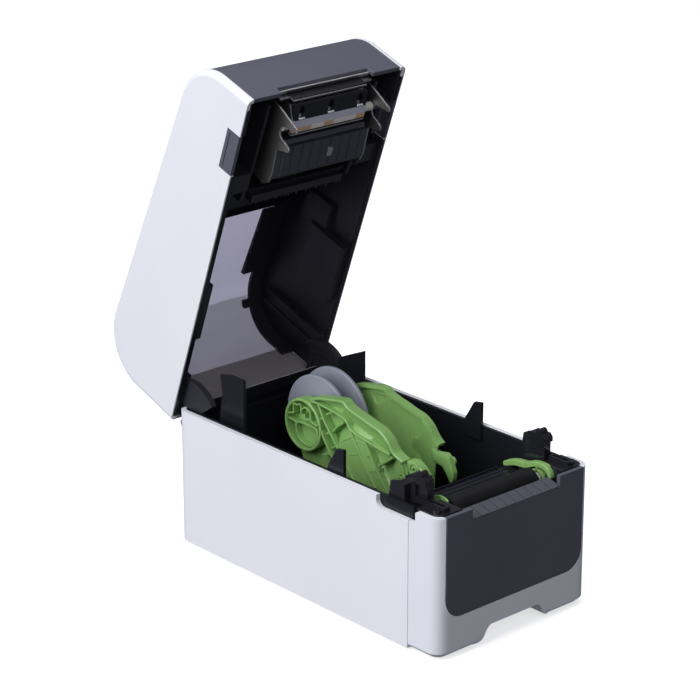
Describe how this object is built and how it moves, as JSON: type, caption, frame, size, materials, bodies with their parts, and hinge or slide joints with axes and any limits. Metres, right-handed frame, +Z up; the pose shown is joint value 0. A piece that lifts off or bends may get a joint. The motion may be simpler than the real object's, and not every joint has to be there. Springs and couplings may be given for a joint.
{
  "type": "desktop label printer",
  "caption": "Desktop direct thermal label printer with its clamshell lid open, showing the print head, rubber platen and sliding roll guides.",
  "frame": {"origin": "centre of the flat underside of the bottom cover; the rubber feet reach 1.5 mm below it", "axes": "+Z up, -Y towards the label exit at the front, +X towards the right side seen from the front"},
  "size_m": [0.114, 0.2736, 0.2839],
  "materials": {
    "white_plastic": "fine satin",
    "bezel_plastic": "fine satin",
    "dark_plastic": "fine grain",
    "black_plastic": "matt moulded",
    "green_plastic": "satin",
    "grey_plastic": "satin",
    "natural_plastic": "satin",
    "window": "tinted clear",
    "rubber": "matt",
    "steel": "brushed",
    "bright_steel": "ground",
    "brass": "machined",
    "aluminium": "extruded",
    "ceramic": "glazed",
    "circuit_board": "lacquered"
  },
  "bodies": {
    "base": {"lower_case": "white_plastic", "front_bezel": "bezel_plastic", "front_panel": "dark_plastic", "media_exit_lip": "dark_plastic", "bottom_cover": "dark_plastic", "rubber_feet": "rubber", "case_screws": "steel", "inner_tub": "black_plastic", "print_chassis": "black_plastic", "latch_post_left": "black_plastic", "latch_post_right": "black_plastic", "corner_plate_left": "black_plastic", "corner_plate_right": "black_plastic", "platen_bushes": "natural_plastic", "media_sensor_bar": "black_plastic", "stepper_motor": "steel", "motor_screws": "steel", "gear_axle": "bright_steel", "main_board": "circuit_board", "board_screws": "steel", "dc_jack": "black_plastic", "usb_port": "steel", "hinge_pins": "bright_steel", "guide_pinion_axle": "bright_steel"},
    "platen": {"platen_roller": "rubber", "platen_shaft": "bright_steel", "platen_gear": "natural_plastic"},
    "idler": {"idler_gear": "natural_plastic"},
    "motor_rotor": {"motor_pinion": "brass"},
    "platen_lever_left": {"platen_lever_left": "green_plastic"},
    "platen_lever_right": {"platen_lever_right": "green_plastic"},
    "roll_guide_left": {"guide_arm_left": "green_plastic", "guide_rack_left": "green_plastic"},
    "roll_guide_right": {"guide_arm_right": "green_plastic", "guide_rack_right": "green_plastic"},
    "guide_gear": {"guide_pinion": "natural_plastic"},
    "roll_disc_left": {"roll_disc_left": "grey_plastic"},
    "roll_disc_right": {"roll_disc_right": "grey_plastic"},
    "lid": {"lid_side_left": "white_plastic", "lid_side_right": "white_plastic", "lid_nose_cover": "dark_plastic", "lid_window": "window", "lid_rear_cover": "dark_plastic", "lid_lining": "black_plastic", "lid_mechanism_frame": "black_plastic", "tear_bar": "steel", "head_bracket": "steel", "head_springs": "steel", "media_guide": "black_plastic", "label_sensor_window": "grey_plastic", "lid_screws": "steel", "button_board": "circuit_board"},
    "head": {"print_head": "ceramic", "head_heatsink": "aluminium", "head_cover": "black_plastic", "head_collars": "natural_plastic"},
    "latch_lever_left": {"latch_lever_left": "dark_plastic"},
    "latch_lever_right": {"latch_lever_right": "dark_plastic"},
    "power_button": {"power_button": "dark_plastic"},
    "feed_button": {"feed_button": "dark_plastic"}
  },
  "joints": [
    {"name": "lid_hinge", "type": "hinge", "parent": "base", "child": "lid", "pos_m": [0, 0.1029, 0.0716], "axis": [1, 0, 0], "range_deg": [0, 70]},
    {"name": "head_float", "type": "slide", "parent": "lid", "child": "head", "axis": [0, 0.9397, 0.342], "range_m": [0, 0.0063]},
    {"name": "latch_lever_left_pivot", "type": "hinge", "parent": "lid", "child": "latch_lever_left", "pos_m": [-0.0534, 0.05888, 0.24224], "axis": [0, 0.342, -0.9397], "range_deg": [-12, 0], "stiffness_Nm_per_rad": 0.05},
    {"name": "latch_lever_right_pivot", "type": "hinge", "parent": "lid", "child": "latch_lever_right", "pos_m": [0.0534, 0.05888, 0.24224], "axis": [0, 0.342, -0.9397], "range_deg": [0, 12], "stiffness_Nm_per_rad": 0.05},
    {"name": "power_button_press", "type": "slide", "parent": "lid", "child": "power_button", "axis": [0, -0.9048, -0.4258], "range_m": [0, 0.001], "stiffness_N_per_m": 400, "springref_m": -0.0005},
    {"name": "feed_button_press", "type": "slide", "parent": "lid", "child": "feed_button", "axis": [0, -0.9048, -0.4258], "range_m": [0, 0.001], "stiffness_N_per_m": 400, "springref_m": -0.0005},
    {"name": "platen_spin", "type": "hinge", "parent": "base", "child": "platen", "pos_m": [0, -0.0875, 0.0714], "axis": [1, 0, 0], "continuous": true},
    {"name": "idler_spin", "type": "hinge", "parent": "base", "child": "idler", "pos_m": [0, -0.0815, 0.05468], "axis": [1, 0, 0], "continuous": true},
    {"name": "motor_spin", "type": "hinge", "parent": "base", "child": "motor_rotor", "pos_m": [0, -0.076, 0.04066], "axis": [1, 0, 0], "continuous": true},
    {"name": "platen_lever_left_turn", "type": "hinge", "parent": "base", "child": "platen_lever_left", "pos_m": [0, -0.0875, 0.0714], "axis": [1, 0, 0], "range_deg": [0, 35]},
    {"name": "platen_lever_right_turn", "type": "hinge", "parent": "base", "child": "platen_lever_right", "pos_m": [0, -0.0875, 0.0714], "axis": [1, 0, 0], "range_deg": [0, 35]},
    {"name": "guide_right_slide", "type": "slide", "parent": "base", "child": "roll_guide_right", "axis": [1, 0, 0], "range_m": [0, 0.024]},
    {"name": "guide_left_slide", "type": "slide", "parent": "base", "child": "roll_guide_left", "axis": [1, 0, 0], "range_m": [-0.024, 0]},
    {"name": "guide_gear_turn", "type": "hinge", "parent": "base", "child": "guide_gear", "pos_m": [0, 0.01, 0.0168], "axis": [0, 0, 1], "range_deg": [0, 175]},
    {"name": "roll_disc_left_spin", "type": "hinge", "parent": "roll_guide_left", "child": "roll_disc_left", "pos_m": [-0.008, 0.043, 0.0782], "axis": [1, 0, 0], "continuous": true},
    {"name": "roll_disc_right_spin", "type": "hinge", "parent": "roll_guide_right", "child": "roll_disc_right", "pos_m": [0.008, 0.043, 0.0782], "axis": [1, 0, 0], "continuous": true}
  ],
  "couplings": [
    {"joint": "head_float", "follows": "lid_hinge", "m_per_rad": 0.0048292},
    {"joint": "idler_spin", "follows": "platen_spin", "ratio": -0.63889},
    {"joint": "motor_spin", "follows": "platen_spin", "ratio": 1.6429},
    {"joint": "guide_left_slide", "follows": "guide_right_slide", "ratio": -1},
    {"joint": "guide_gear_turn", "follows": "guide_right_slide", "rad_per_m": 125}
  ]
}
